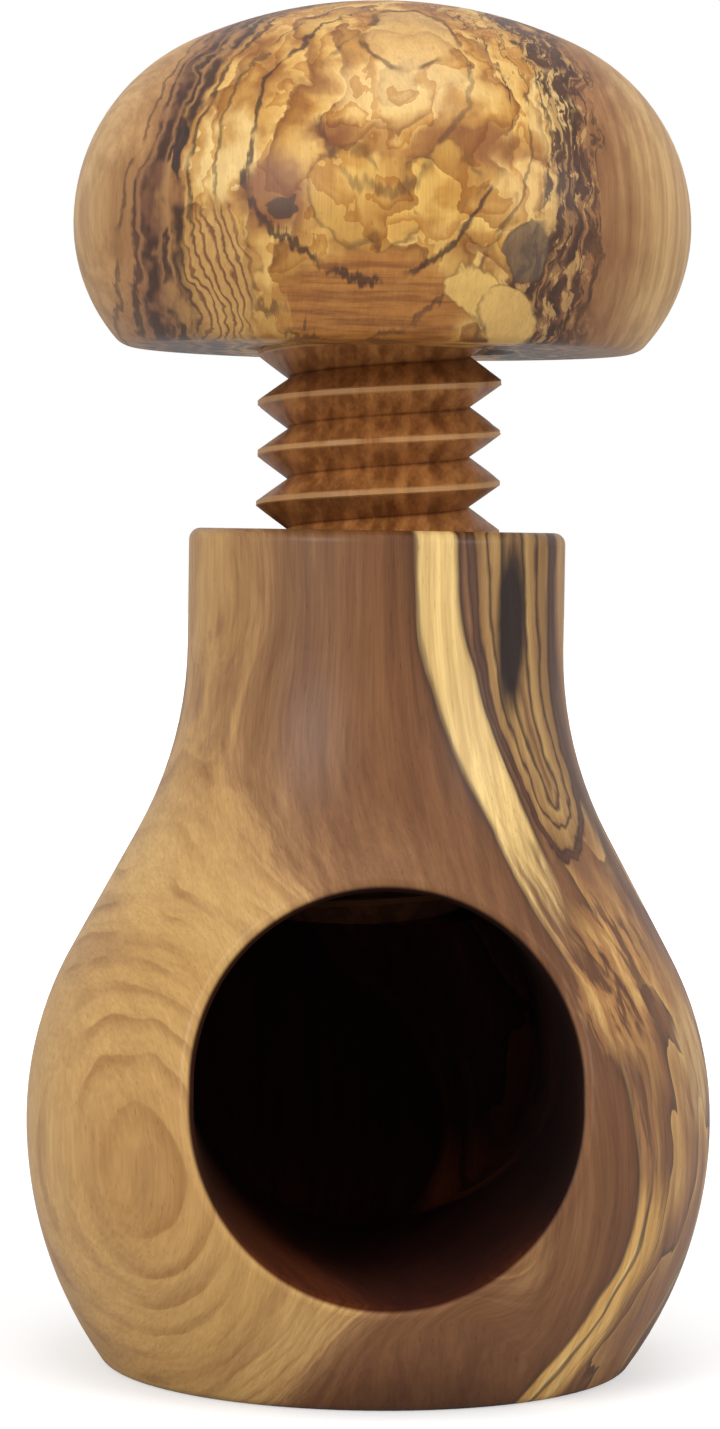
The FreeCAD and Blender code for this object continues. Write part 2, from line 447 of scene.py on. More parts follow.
# %% Group: curl
curl, canvas, given, result = new_group(
    "curl",
    [
        ("Place", "Vector", None),
        ("Size", "Float", 6.0),
        ("Count", "Float", 5.0),
        ("Shift", "Float", 0.0),
    ],
    [("Slope", "Float"), ("Edge", "Float")],
)
lumps = canvas.cloud(given["Place"], given["Size"], detail=1.5)
slope = canvas.math("FRACT", lumps * given["Count"] + given["Shift"])
canvas.feed(result.inputs["Slope"], slope)
canvas.feed(result.inputs["Edge"], canvas.ramp(slope, 0.86, 0.96) * canvas.ramp(slope, 1.0, 0.985))
print("groups:", [g.name for g in bpy.data.node_groups])

# %% Colours of olive wood, from sapwood to ink
CREAM = (0.93, 0.66, 0.26)
GOLD = (0.60, 0.35, 0.10)
TAN = (0.53, 0.295, 0.10)
AMBER = (0.32, 0.125, 0.03)
MAUVE = (0.21, 0.098, 0.045)
CHESTNUT = (0.15, 0.062, 0.028)
UMBER = (0.075, 0.030, 0.014)
INK = (0.026, 0.012, 0.008)
print("palette of", len((CREAM, GOLD, TAN, AMBER, MAUVE, CHESTNUT, UMBER, INK)), "browns")

# %% A block of wood and its oil
OIL = 0.38
OIL_ROUGHNESS = 0.36
WOOD_ROUGHNESS = 0.48
WOOD_SPECULAR = 0.12
MATT_EXTRA = 0.4
FINE_RELIEF = 0.03 * MM


def new_wood(name):
    """A material with its canvas, its shader, and the place inside the block in millimetres."""
    material = bpy.data.materials.new(name)
    material.use_nodes = True
    canvas = Canvas(material.node_tree)
    shader = material.node_tree.nodes["Principled BSDF"]
    coordinates = canvas.node("TexCoord")
    place = Wire(canvas, coordinates.outputs["Object"])
    return material, canvas, shader, canvas.vector_math("SCALE", place, scale=1000.0)


def polish(canvas, shader, colour, grain, matt=None, relief=FINE_RELIEF):
    """Connects the colour, and gives the wood a thin coat of oil, except where it is matt."""
    canvas.feed(shader.inputs["Base Color"], colour)
    rough = grain["Hair"] * 0.06 + grain["Pores"] * 0.2 + WOOD_ROUGHNESS
    shader.inputs["Specular IOR Level"].default_value = WOOD_SPECULAR
    shader.inputs["Coat Weight"].default_value = OIL
    shader.inputs["Coat Roughness"].default_value = OIL_ROUGHNESS
    if matt is not None:
        rough = rough + matt * MATT_EXTRA
        canvas.feed(shader.inputs["Coat Weight"], OIL - matt * OIL)
    canvas.feed(shader.inputs["Roughness"], rough)
    bump = canvas.node("Bump")
    bump.inputs["Strength"].default_value = 0.5
    bump.inputs["Distance"].default_value = relief
    canvas.feed(bump.inputs["Height"], grain["Height"])
    canvas.feed(shader.inputs["Normal"], Wire(canvas, bump.outputs["Normal"]))


print("oil coat", OIL, "with roughness", OIL_ROUGHNESS)

# %% [markdown]
# ## The body's wood
# The block was cut beside a hidden branch. Its growth layers stand upright in the neck, swell out
# round the chamber on the right, and close into quiet ovals low on the left. So the layers are
# one number, `layer`, which grows from left to right through the block: pale tan sapwood first,
# then mauve heartwood, one cream band, and the restless wood of the right side.

# %% Body wood: the growth layers
body_wood, canvas, shader, place = new_wood("body_olive_wood")
x0, y0, z0 = canvas.split(place)
DRAWN_OUT = 0.35  # the wavering is this much slower along the grain than across it
slow = canvas.join(x0, y0, z0 * DRAWN_OUT)
slow = canvas.place(wander, Place=slow, Size=22.0, Reach=1.6)["Place"]
slow = canvas.place(wander, Place=slow, Size=4.0, Reach=0.45)["Place"]
x, y, _ = canvas.split(slow)
z = z0
# how far the layers are pushed aside at each height, in millimetres
SWELL = [
    (-4, 7), (3, 11), (10, 16), (20, 20.5), (30, 19.2), (40, 15.5), (50, 10.3), (60, 6.2),
    (70, 2.8), (80, 0.2), (90, 0),
]
swell = canvas.curve(z, SWELL, -4, 90, 0, 24)
side = canvas.ramp(x, -14.0, 12.0, 0.25, 1.0)
# the hidden branch lifts the layers in a round bump, whose rings are the quiet ovals
EYE = (-20.5, -28.5, 16.5)
EYE_WIDTH = 9.5
EYE_DEPTH = 15.0
NATURAL_BASE = 2.718
# round the mouth the heartwood reaches farther left than the layers alone would bring it
UNDER_MOUTH_LIFT = 14.0
OVER_MOUTH_LIFT = 4.0
HEARTWOOD_LAYER = -7.5
from_eye = canvas.vector_math("SUBTRACT", canvas.join(x, y * 0.8 - 5.7, z * 0.62 + 2.2), EYE)
eye = canvas.vector_math("LENGTH", from_eye)
eye_bump = canvas.math("POWER", NATURAL_BASE, eye * eye * (-1 / (2 * EYE_WIDTH**2)))
under_mouth = canvas.ramp(z, 19.0, 7.0) * canvas.ramp(x - z * 0.6, -19.0, -2.0)
under_mouth = under_mouth * canvas.ramp(x, 16.0, 7.0)
over_mouth = canvas.ramp(z, 38.0, 54.0) * canvas.ramp(z, 80.0, 60.0) * canvas.ramp(x, 5.0, -6.0)
layer = x * 0.94 + y * 0.33 - swell * side - eye_bump * EYE_DEPTH - 0.5
lifted = layer + under_mouth * UNDER_MOUTH_LIFT + over_mouth * OVER_MOUTH_LIFT
lifted = canvas.math("MINIMUM", lifted, HEARTWOOD_LAYER)
layer = canvas.math("MAXIMUM", layer, lifted)
grain = canvas.place(fine_grain, Across=layer * 0.5 + x0 * 0.6, Aside=y * 0.6 - x * 0.2, Along=z)
print("body wood: one number for the layers, from", len(SWELL), "points of swell")

# %% Body wood: the colours of the layers
# the layers end in long feathers, most of all where sapwood turns into heartwood
feather = canvas.cloud(canvas.join(layer * 1.2, y * 0.2, z * 0.045), 1.0, 4.0, 0.65) - 0.5
loose = canvas.ramp(layer, -6.0, -9.5)
FEATHER_LENGTH = 9.0
FEATHER_BASE = 0.8
BODY_LAYERS = [
    (-52, (0.50, 0.27, 0.085)),
    (-44, (0.56, 0.33, 0.11)),
    (-34, (0.52, 0.30, 0.095)),
    (-27, (0.60, 0.37, 0.13)),
    (-21, (0.57, 0.34, 0.12)),
    (-18.6, (0.52, 0.30, 0.11)),
    (-17, (0.36, 0.19, 0.075)),
    (-14.5, (0.27, 0.125, 0.048)),
    (-12, (0.235, 0.104, 0.038)),
    (-8, (0.215, 0.090, 0.032)),
    (-5.4, (0.17, 0.068, 0.025)),
    (-4.8, UMBER),
    (-4.1, CREAM),
    (-0.4, CREAM),
    (0.1, UMBER),
    (1.0, (0.33, 0.16, 0.065)),
    (5, (0.27, 0.13, 0.055)),
    (7, AMBER),
    (9, (0.50, 0.29, 0.10)),
    (10, UMBER),
    (13, (0.26, 0.12, 0.05)),
    (15, TAN),
    (17, (0.50, 0.29, 0.10)),
    (17.6, UMBER),
    (19, CHESTNUT),
    (24, (0.30, 0.14, 0.06)),
    (26, GOLD),
    (27, UMBER),
    (31, MAUVE),
    (40, TAN),
]
feathered = layer + feather * (loose * FEATHER_LENGTH + FEATHER_BASE)
colour = canvas.bands(feathered, -52, 40, BODY_LAYERS)
print("body wood:", len(BODY_LAYERS), "colours in its layers")

# %% Body wood: the cream band breaks up on the swollen side
flame = canvas.cloud(canvas.join(layer * 0.9, y * 0.2, z * 0.10), 1.0, 3.0, 0.6)
shred = canvas.join(layer, y * 0.3, z * 0.3)
shred = canvas.place(wander, Place=shred, Size=1.8, Reach=0.7)["Place"]
shred_layer, _, _ = canvas.split(shred)
swollen = canvas.ramp(z + flame * 26.0, 71.0, 57.0) * canvas.ramp(z - flame * 8.0, 11.0, 17.0)
cream_band = canvas.ramp(layer, -5.2, -4.2) * canvas.ramp(layer, 1.0, -0.2)
stained = canvas.mix(canvas.ramp(flame, 0.46, 0.60), (0.20, 0.092, 0.042), (0.40, 0.195, 0.075))
colour = canvas.mix(cream_band * swollen, colour, stained)
low = canvas.ramp(z, 24.0, 18.0) * cream_band
colour = canvas.mix(low * canvas.ramp(flame, 0.34, 0.56) * 0.95, colour, (0.84, 0.49, 0.14))
MIDDLE_OF_BAND = -2.9
low_line = canvas.place(ink_line, Value=shred_layer, Mark=MIDDLE_OF_BAND, Width=0.5)["Mask"]
colour = canvas.mix(low * low_line * 0.75, colour, UMBER)
print("body wood: cream band broken up")

# %% Body wood: the restless right side
# broken dark lines and golden flecks run along the layers
restless = canvas.ramp(layer, -3.6, 1.5) * canvas.ramp(z, 60.0, 49.0)
flecks = canvas.place(curl, Place=shred, Size=8.0, Count=6.0, Shift=layer * 0.12)
fleck_colour = canvas.bands(
    flecks["Slope"],
    0,
    1,
    [
        (0.0, (0.66, 0.40, 0.14)),
        (0.25, (0.46, 0.235, 0.08)),
        (0.6, (0.28, 0.125, 0.052)),
        (0.9, (0.17, 0.070, 0.030)),
        (1.0, (0.56, 0.32, 0.11)),
    ],
)
colour = canvas.mix(restless * canvas.ramp(z, 12.0, 22.0, 0.45, 0.85), colour, fleck_colour)
colour = canvas.mix(flecks["Edge"] * restless * 0.85, colour, UMBER)
here = canvas.join(x, y, z)
flare = canvas.place(
    patch, Place=here, Centre=(23.5, -21.0, 43.0), Size=(5.0, 12.0, 8.0), Softness=0.4
)["Mask"]
lick = canvas.cloud(canvas.join(shred_layer * 0.55, y * 0.2, z * 0.11), 1.0, 3.0, 0.65)
bright = canvas.mix(canvas.ramp(lick, 0.43, 0.50), (0.13, 0.052, 0.022), (0.50, 0.25, 0.08))
bright = canvas.mix(canvas.ramp(lick, 0.53, 0.62), bright, (0.70, 0.42, 0.14))
colour = canvas.mix(flare * 0.85, colour, bright)
pale_side = canvas.place(
    patch, Place=here, Centre=(32.2, -10.0, 32.5), Size=(3.2, 9.0, 6.5), Softness=0.3
)["Mask"]
pale_side = pale_side * canvas.ramp(flame, 0.36, 0.56)
colour = canvas.mix(pale_side * 0.8, colour, (0.64, 0.42, 0.18))
print("body wood: right side drawn")

# %% Body wood: the nested tongues in the neck
# the tongues' middle line and half width at each height, and where and how steeply they end
AXIS = [(50, 18.8), (55, 18.4), (60, 17.1), (65, 15.3), (70, 13.9), (78, 13.0), (90, 12.5)]
HALF_WIDTH = [(50, 3.0), (60, 3.3), (66, 3.8), (74, 4.5), (90, 5.1)]
END_HEIGHT = 60.5
END_STEEPNESS = 0.43
SQUEEZE = 0.3
axis = canvas.curve(z, AXIS, 50, 90, 10, 20)
half = canvas.curve(z, HALF_WIDTH, 50, 90, 0, 6)
ragged = canvas.join(x0, y0, z0 * SQUEEZE)
ragged = canvas.place(wander, Place=ragged, Size=1.5, Reach=0.42)["Place"]
ragged_x, _, ragged_z = canvas.split(ragged)
past_end = END_HEIGHT - ragged_z * (1 / SQUEEZE)
dip = canvas.math("MAXIMUM", past_end * END_STEEPNESS, 0.0)
beside = ragged_x - axis
tongue = canvas.math("SQRT", beside * beside + dip * dip) / half
in_tongue = canvas.ramp(tongue, 1.06, 0.97) * canvas.ramp(y0, 0.0, -2.0)
TONGUE = [
    (0.0, (0.22, 0.10, 0.04)),
    (0.12, (0.42, 0.24, 0.085)),
    (0.22, UMBER),
    (0.30, (0.52, 0.32, 0.11)),
    (0.48, (0.40, 0.22, 0.075)),
    (0.54, UMBER),
    (0.61, (0.46, 0.27, 0.09)),
    (0.76, (0.36, 0.19, 0.065)),
    (0.82, UMBER),
    (0.90, (0.13, 0.055, 0.025)),
    (0.97, UMBER),
    (1.0, CHESTNUT),
]
tongues = canvas.bands(tongue, 0, 1.0, TONGUE)
heart_spot = canvas.place(
    patch, Place=ragged, Centre=(12.6, -15, 23.0), Size=(1.5, 12, 2.5), Softness=0.3
)["Mask"]
tongues = canvas.mix(heart_spot, tongues, INK)
colour = canvas.mix(in_tongue, colour, tongues)
print("body wood: tongues drawn")

# %% Body wood: rings, smoky tone and painted shade
CHAMBER_HEIGHT = 31.1
BORE_OFFSET = 1.0  # the chamber is two merged bores, this far above and below its middle
RINGS_PER_MM = 0.30
sapwood = canvas.ramp(layer, -13.0, -22.0)
off_centre = canvas.math("MAXIMUM", abs(z0 - CHAMBER_HEIGHT) - BORE_OFFSET, 0.0)
drill = canvas.vector_math("LENGTH", canvas.join(x0, 0.0, off_centre))
smudge = canvas.cloud(canvas.join(layer * 0.30, y * 0.06, z * 0.05), 1.0, 3.0, 0.6)
colour = canvas.mix(canvas.ramp(smudge, 0.45, 0.68) * sapwood * 0.6, colour, (0.38, 0.20, 0.07))
ripple = canvas.math("FRACT", layer * RINGS_PER_MM + canvas.cloud(slow, 12.0) * 1.2)
ring = canvas.ramp(ripple, 0.45, 0.92) * canvas.ramp(ripple, 1.0, 0.93)
uneven = canvas.ramp(canvas.cloud(slow, 9.0, 1.0), 0.35, 0.65)
colour = canvas.darken(ring * (sapwood * 0.50 + 0.06) * uneven, colour, (0.52, 0.38, 0.26))
# painted shade: a darker band just outside the lower right of the mouth's edge
painted_shade_by_mouth = canvas.ramp(drill, 21.4, 19.6) * canvas.ramp(x0, 4.0, 12.0)
painted_shade_by_mouth = painted_shade_by_mouth * canvas.ramp(z, 32.0, 20.0)
colour = canvas.darken(painted_shade_by_mouth * 0.6, colour, (0.55, 0.42, 0.34))
smoky = canvas.ramp(z, 58.0, 70.0) * canvas.ramp(x0, -17.5, -12.0) * canvas.ramp(x0, -4.0, -10.0)
colour = canvas.darken(smoky * 0.7, colour, (0.74, 0.68, 0.72))
# painted shade: darker low on the body, where the belly turns in to the table
painted_shade_at_foot = canvas.ramp(z, 9.0, 0.0) * canvas.ramp(x0, -14.0, 0.0) * canvas.ramp(x0, 16.0, 9.0)
colour = canvas.darken(painted_shade_at_foot * 0.7, colour, (0.5, 0.40, 0.34))
print("body wood: rings and shade drawn")

# %% Body wood: grain, and the chamber darkened with stain and painted shade
# the stain and painted shade start just outside the chamber's wall, so that the wall is dark all
# over; they are darkest from 23 mm up
STAIN_AND_SHADE_FADES = 19.6
STAIN_AND_SHADE_FULL = 19.1
colour = canvas.darken(grain["Streak"] * (0.75 - sapwood * 0.45), colour, (0.58, 0.50, 0.44))
colour = canvas.darken(grain["Hair"] * 0.45, colour, (0.64, 0.57, 0.50))
colour = canvas.darken(grain["Pores"] * 0.35, colour, (0.45, 0.36, 0.28))
drilled = canvas.ramp(drill, STAIN_AND_SHADE_FADES, STAIN_AND_SHADE_FULL) * canvas.ramp(y0, 25.0, 22.0)
# stain and painted shade: near black inside the chamber, darkest from 23 mm up and lighter on the
# floor
stain_and_painted_shade = canvas.mix(canvas.ramp(z0, 23.0, 13.0), (0.06, 0.026, 0.016), (0.15, 0.052, 0.024))
colour = canvas.darken(drilled, colour, stain_and_painted_shade)
polish(canvas, shader, colour, grain, matt=drilled)
frame["nodes"]["body"].data.materials.clear()
frame["nodes"]["body"].data.materials.append(body_wood)
print("body wood nodes:", len(body_wood.node_tree.nodes))

# %% [markdown]
# ## The knob
# A turner cuts the knob to a card template: a tight curve up from the flat underside, a rounder
# one over the shoulder, and a long shallow one across the crown. The outline here is drawn the
# same way, with a compass: `spin` swings one point about the centre of each curve. A second
# `spin`, this time of the whole outline about the screw's line, turns the knob on the lathe.

# %% Turning helpers
UP = Vector((0, 0, 1))
SAME_SPOT = 0.01 * MM
SEAM = 0.02 * MM


def verts_of(geometry):
    """The vertices in what an operator returned."""
    return [v for v in geometry if isinstance(v, bmesh.types.BMVert)]


def edges_of(geometry):
    """The edges in what an operator returned."""
    return [e for e in geometry if isinstance(e, bmesh.types.BMEdge)]


def compass(shape, point, centre, degrees, steps):
    """Swings a point of the outline about a centre, and returns the arc's last point."""
    swung = bmesh.ops.spin(
        shape,
        geom=[point],
        cent=centre,
        axis=(0, -1, 0),
        angle=math.radians(degrees),
        steps=steps,
        use_merge=False,
    )
    return verts_of(swung["geom_last"])[0]


def straight(shape, point, radius, height, cuts=0):
    """Draws the outline on to a point given by radius and height, and returns that point."""
    start = point.co.copy()
    for step in range(1, cuts + 2):
        point = bmesh.ops.extrude_vert_indiv(shape, verts=[point])["verts"][0]
        point.co = start.lerp((radius, 0, height), step / (cuts + 1))
    return point


def lathe(shape, steps):
    """Turns the outline once about the screw's line and closes the seam and the poles."""
    bmesh.ops.spin(
        shape,
        geom=shape.verts[:] + shape.edges[:],
        cent=(0, 0, 0),
        axis=UP,
        angle=2 * math.pi,
        steps=steps,
        use_merge=True,
    )
    bmesh.ops.remove_doubles(shape, verts=shape.verts, dist=SEAM)
    bmesh.ops.recalc_face_normals(shape, faces=shape.faces)


def shade_smooth(shape, sharp_degrees):
    """Smooth faces, with the edges sharper than an angle kept crisp."""
    for face in shape.faces:
        face.smooth = True
    for edge in shape.edges:
        if len(edge.link_faces) == 2 and edge.calc_face_angle() > math.radians(sharp_degrees):
            edge.smooth = False


print("turning helpers are ready")

# %% Sizes of the knob
knob_low, knob_high = (Vector(corner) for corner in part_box("knob"))
screw_low, screw_high = (Vector(corner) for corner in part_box("screw"))
KNOB_RADIUS = knob_high.x
SCREW_RADIUS = screw_high.x
KNOB_BOTTOM = knob_low.z
SOCKET_GAP = 0.42 * MM
SOCKET_RADIUS = SCREW_RADIUS + SOCKET_GAP
SOCKET_TOP = screw_high.z + SOCKET_GAP
SOCKET_CHAMFER = 0.8 * MM
EQUATOR = KNOB_BOTTOM + 12.7 * MM
LOWER_CURVE = 18.0 * MM
SHOULDER_CURVE = 20.3 * MM
SHOULDER_DEGREES = 65.0
SOFT_EDGE = 1.0 * MM

lower_degrees = math.degrees(math.asin((EQUATOR - KNOB_BOTTOM) / LOWER_CURVE))
shoulder = math.radians(SHOULDER_DEGREES)
back = (KNOB_RADIUS - SHOULDER_CURVE) / math.cos(shoulder)
foot_radius = KNOB_RADIUS - LOWER_CURVE * (1 - math.cos(math.radians(lower_degrees)))
print("the knob's flat underside reaches", round(foot_radius / MM, 2), "mm out")

# %% Knob shape
KNOB_STEPS = 144
LOWER_STEPS, SHOULDER_STEPS, CROWN_STEPS = 14, 18, 14
shape = bmesh.new()
spot = shape.verts.new((0, 0, SOCKET_TOP))
spot = straight(shape, spot, SOCKET_RADIUS, SOCKET_TOP)
spot = straight(shape, spot, SOCKET_RADIUS, KNOB_BOTTOM + SOCKET_CHAMFER)
spot = straight(shape, spot, SOCKET_RADIUS + SOCKET_CHAMFER, KNOB_BOTTOM)
foot = straight(shape, spot, foot_radius, KNOB_BOTTOM, cuts=4)
low_centre = (KNOB_RADIUS - LOWER_CURVE, 0, EQUATOR)
spot = compass(shape, foot, low_centre, lower_degrees, LOWER_STEPS)
shoulder_centre = (KNOB_RADIUS - SHOULDER_CURVE, 0, EQUATOR)
spot = compass(shape, spot, shoulder_centre, SHOULDER_DEGREES, SHOULDER_STEPS)
crown_centre = (0, 0, EQUATOR - back * math.sin(shoulder))
compass(shape, spot, crown_centre, 90 - SHOULDER_DEGREES, CROWN_STEPS)
bmesh.ops.remove_doubles(shape, verts=shape.verts, dist=SAME_SPOT)
shape.verts.ensure_lookup_table()
foot = min(shape.verts, key=lambda v: (v.co - Vector((foot_radius, 0, KNOB_BOTTOM))).length)
bmesh.ops.bevel(
    shape,
    geom=[foot],
    offset=SOFT_EDGE,
    affect="VERTICES",
    segments=5,
    profile=0.5,
    material=-1,
)
lathe(shape, KNOB_STEPS)
shade_smooth(shape, sharp_degrees=30)
knob = new_piece("turned_knob", mesh_from(shape, "turned_knob"))
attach(knob, "screw_and_knob")
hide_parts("knob")
print("knob faces", len(knob.data.polygons), "height", round(knob.dimensions.z / MM, 2), "mm")

# %% [markdown]
# ## The screw
# A wooden screw is cut by drawing a dowel through a thread box, whose V cutter leaves
# a thread with slightly soft, slightly chipped crests. One turn of the thread's outline is drawn,
# then `spin` with a rise for every step winds it once round the dowel, and copies of that turn
# carry it up the dowel. `bisect_plane` saws the ends off, and the crests are worn by a little
# noise.

# %% One turn of the thread
ratio = frame["record"]["behaviour"]["couplings"][0]["ratio"]
PITCH = abs(ratio) * 2 * math.pi
THREAD_DEPTH = 3.3 * MM
CREST = 0.45 * MM
THREAD_PHASE = 0.415  # of a turn, so that the crests run in the grooves tapped in the neck
STEPS_PER_TURN = 120
TIP_CHAMFER = 1.8 * MM
HIDDEN_THREAD = 1.0 * MM  # the thread runs this far up into the knob
thread_top = KNOB_BOTTOM + HIDDEN_THREAD
turns = math.ceil((thread_top - screw_low.z) / PITCH) + 3
root_radius = SCREW_RADIUS - THREAD_DEPTH
start = KNOB_BOTTOM + (THREAD_PHASE - turns + 1) * PITCH

shape = bmesh.new()
spot = shape.verts.new((root_radius, 0, start - PITCH / 2))
spot = straight(shape, spot, SCREW_RADIUS, start - CREST / 2, cuts=5)
spot = straight(shape, spot, SCREW_RADIUS, start + CREST / 2)
spot = straight(shape, spot, root_radius, start + PITCH / 2, cuts=5)
bmesh.ops.spin(
    shape,
    geom=shape.verts[:] + shape.edges[:],
    cent=(0, 0, 0),
    axis=UP,
    dvec=UP * (PITCH / STEPS_PER_TURN),
    angle=2 * math.pi,
    steps=STEPS_PER_TURN,
    use_merge=False,
)
print("pitch", round(PITCH / MM, 2), "mm,", len(shape.faces), "faces in one turn")

# %% The whole thread
one_turn = shape.verts[:] + shape.edges[:] + shape.faces[:]
for number in range(1, turns):
    copied = bmesh.ops.duplicate(shape, geom=one_turn)["geom"]
    bmesh.ops.translate(shape, verts=verts_of(copied), vec=UP * (PITCH * number))
bmesh.ops.remove_doubles(shape, verts=shape.verts, dist=SEAM)


def saw(shape, height, outward):
    """Cuts the thread off at a height and returns the edges of the cut."""
    cut = bmesh.ops.bisect_plane(
        shape,
        geom=shape.verts[:] + shape.edges[:] + shape.faces[:],
        plane_co=(0, 0, height),
        plane_no=outward,
        clear_outer=True,
    )
    return edges_of(cut["geom_cut"])


tip_edges = saw(shape, screw_low.z, -UP)
top_edges = saw(shape, thread_top, UP)
print("thread faces", len(shape.faces), "turns", turns)

# %% Wear of the crests
UNWORN_SHARE = 0.55
NICK_LENGTH = 3.1 * MM
NICK_DEPTH = 0.55 * MM
NICK_THRESHOLD = 0.12
FUZZ_LENGTH = 0.9 * MM
FUZZ_DEPTH = 0.07 * MM
RUBBED_OFF = 0.05 * MM

for vert in shape.verts:
    radius = vert.co.xy.length
    worn = max(0.0, (radius - root_radius) / THREAD_DEPTH - UNWORN_SHARE) / (1 - UNWORN_SHARE)
    nick = max(0.0, noise.noise(vert.co / NICK_LENGTH) - NICK_THRESHOLD) * NICK_DEPTH
    fuzz = noise.noise(vert.co / FUZZ_LENGTH) * FUZZ_DEPTH
    limit = SCREW_RADIUS - TIP_CHAMFER + (vert.co.z - screw_low.z)
    target = min(radius - worn * (nick + fuzz + RUBBED_OFF), limit)
    vert.co.xy *= target / radius
print("screw radius after wear:", round(max(v.co.x for v in shape.verts) / MM, 2), "mm")

# %% Ends of the screw
PLAIN_END_RADIUS = SCREW_RADIUS - 0.1 * MM

bmesh.ops.contextual_create(shape, geom=tip_edges)
stub = bmesh.ops.extrude_edge_only(shape, edges=top_edges)["geom"]
for vert in verts_of(stub):
    vert.co.xy *= PLAIN_END_RADIUS / vert.co.xy.length
stub = bmesh.ops.extrude_edge_only(shape, edges=edges_of(stub))["geom"]
for vert in verts_of(stub):
    vert.co.z = screw_high.z
bmesh.ops.contextual_create(shape, geom=edges_of(stub))
bmesh.ops.remove_doubles(shape, verts=shape.verts, dist=SAME_SPOT)
bmesh.ops.recalc_face_normals(shape, faces=shape.faces)
open_edges = [e for e in shape.edges if len(e.link_faces) != 2]
print("open edges of the screw:", len(open_edges))
shade_smooth(shape, sharp_degrees=40)
screw = new_piece("threaded_screw", mesh_from(shape, "threaded_screw"))
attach(screw, "screw_and_knob")
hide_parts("screw")
print("screw faces", len(screw.data.polygons), "length", round(screw.dimensions.z / MM, 1), "mm")

# %% [markdown]
# ## The knob's wood
# The knob was turned from a burl, with the heart of the branch pointing to the front. The layers
# lie round that heart like the skins of an onion, squeezed above and stretched below, and
# their edges are drawn in dark ink. Outside the last dark band the wood is plain and straight.

# %% Knob wood: layers round the heart
knob_wood, canvas, shader, place = new_wood("knob_olive_burl")
base = KNOB_BOTTOM / MM
x0, y0, z0 = canvas.split(place)
centred = canvas.join(x0, y0 * 0.7, z0 - base)
bent = canvas.place(wander, Place=centred, Size=11.0, Reach=2.4)["Place"]
bent = canvas.place(wander, Place=bent, Size=3.0, Reach=1.1)["Place"]
bent = canvas.place(wander, Place=bent, Size=0.9, Reach=0.28)["Place"]
x, _, z = canvas.split(bent)
comb = canvas.cloud(canvas.join(x0 * 1.5, y0 * 0.5, z0 * 0.10), 1.0, 2.0, 0.6) - 0.5
HEART = (1.0, 28.5)
SQUEEZED_ABOVE = 0.6
SQUEEZED_ASIDE = 0.15
drift = (y0 + 20.0) * 0.10
dx = x - HEART[0] - drift + comb * 1.2
dz = z - HEART[1] + drift * 0.6 + comb * 2.6
layer = canvas.math("SQRT", dx * dx + dz * dz) + dz * SQUEEZED_ABOVE + dx * SQUEEZED_ASIDE
KNOB_LAYERS = [
    (0, (0.70, 0.47, 0.21)),
    (4, (0.68, 0.43, 0.16)),
    (6, (0.62, 0.36, 0.11)),
    (8.6, (0.60, 0.34, 0.10)),
    (9.6, (0.72, 0.47, 0.18)),
    (12.5, (0.70, 0.45, 0.16)),
    (13.6, (0.46, 0.24, 0.08)),
    (14.4, (0.26, 0.11, 0.04)),
    (15.4, (0.42, 0.22, 0.08)),
    (16.2, (0.17, 0.07, 0.035)),
    (17.2, (0.30, 0.14, 0.06)),
    (18.6, (0.44, 0.23, 0.085)),
    (21.0, (0.54, 0.315, 0.12)),
    (24.0, (0.62, 0.385, 0.15)),
    (30, (0.60, 0.36, 0.14)),
    (40, TAN),
]
colour = canvas.bands(layer, 0, 40, KNOB_LAYERS)
right_heart = canvas.ramp(layer, 16.0, 18.0) * canvas.ramp(layer, 24.5, 19.0)
right_heart = right_heart * canvas.ramp(x0, 0.0, 9.0)
colour = canvas.mix(right_heart * 0.85, colour, (0.31, 0.14, 0.055))
inside = canvas.ramp(layer, 14.6, 13.0)
front = canvas.ramp(y0, 4.0, -4.0)
print("knob wood:", len(KNOB_LAYERS), "colours in its layers")

# %% Knob wood: petals of the burl
petals = canvas.place(curl, Place=bent, Size=10.0, Count=5.0, Shift=layer * 0.16)
petal_colour = canvas.bands(
    petals["Slope"],
    0,
    1,
    [
        (0.0, (0.76, 0.48, 0.15)),
        (0.3, (0.66, 0.385, 0.10)),
        (0.65, (0.52, 0.265, 0.055)),
        (0.92, (0.33, 0.14, 0.03)),
        (1.0, (0.60, 0.35, 0.10)),
    ],
)
colour = canvas.mix(inside * 0.9, colour, petal_colour)
colour = canvas.mix(petals["Edge"] * inside * 0.25, colour, UMBER)
blotch = canvas.cloud(centred, 5.0, 3.0, 0.6)
colour = canvas.mix(canvas.ramp(blotch, 0.50, 0.64) * inside * 0.65, colour, (0.34, 0.135, 0.03))
print("knob wood: petals drawn")

